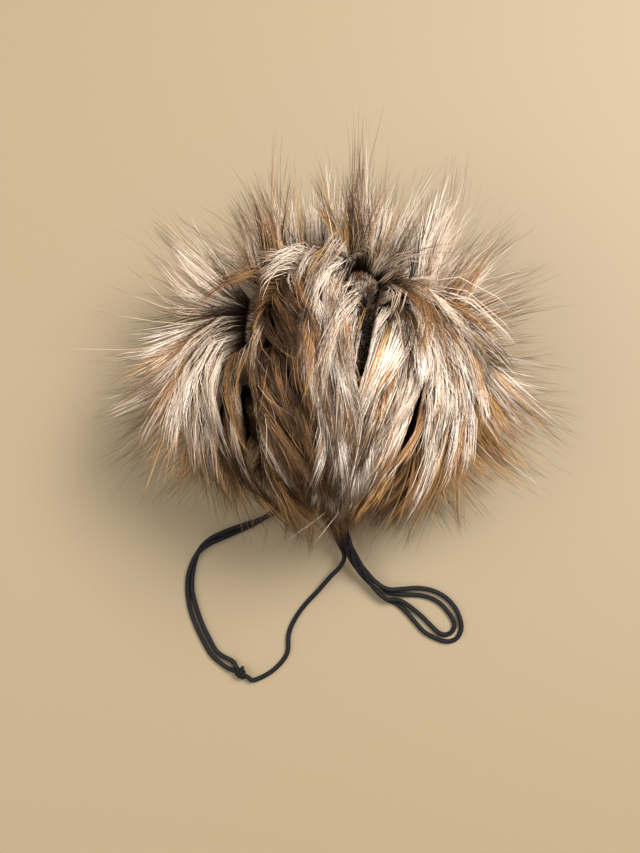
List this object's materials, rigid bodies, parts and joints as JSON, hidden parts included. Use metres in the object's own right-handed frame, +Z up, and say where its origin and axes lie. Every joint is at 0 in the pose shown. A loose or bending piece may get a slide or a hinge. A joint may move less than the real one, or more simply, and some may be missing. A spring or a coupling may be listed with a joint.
{
  "type": "faux fur pom pom",
  "caption": "Round faux-fur pom-pom with long combed pile, a flat foot, and a thin knotted tie and doubled cord loop coming out of its gathered neck.",
  "frame": {"origin": "middle of the fur's box across and front to back, on the surface that the flat foot rests on; cords not counted", "axes": "+Z up from the surface; -Y from the ball towards the cords, which leave the gathered neck that way; +X to the right seen from above with the cords below, along the fur's longest extent"},
  "size_m": [0.126, 0.1457, 0.069],
  "materials": {
    "faux_fur": "long soft pile with a low sheen, dark at the roots and tips and pale between",
    "black_cord": "matte to satin braided elastic cord"
  },
  "bodies": {
    "root": {"fur_ball": "faux_fur", "tie_outer": "black_cord", "tie_inner": "black_cord", "tie_return": "black_cord", "loop_outer": "black_cord", "loop_inner": "black_cord", "knot": "black_cord"}
  },
  "joints": []
}
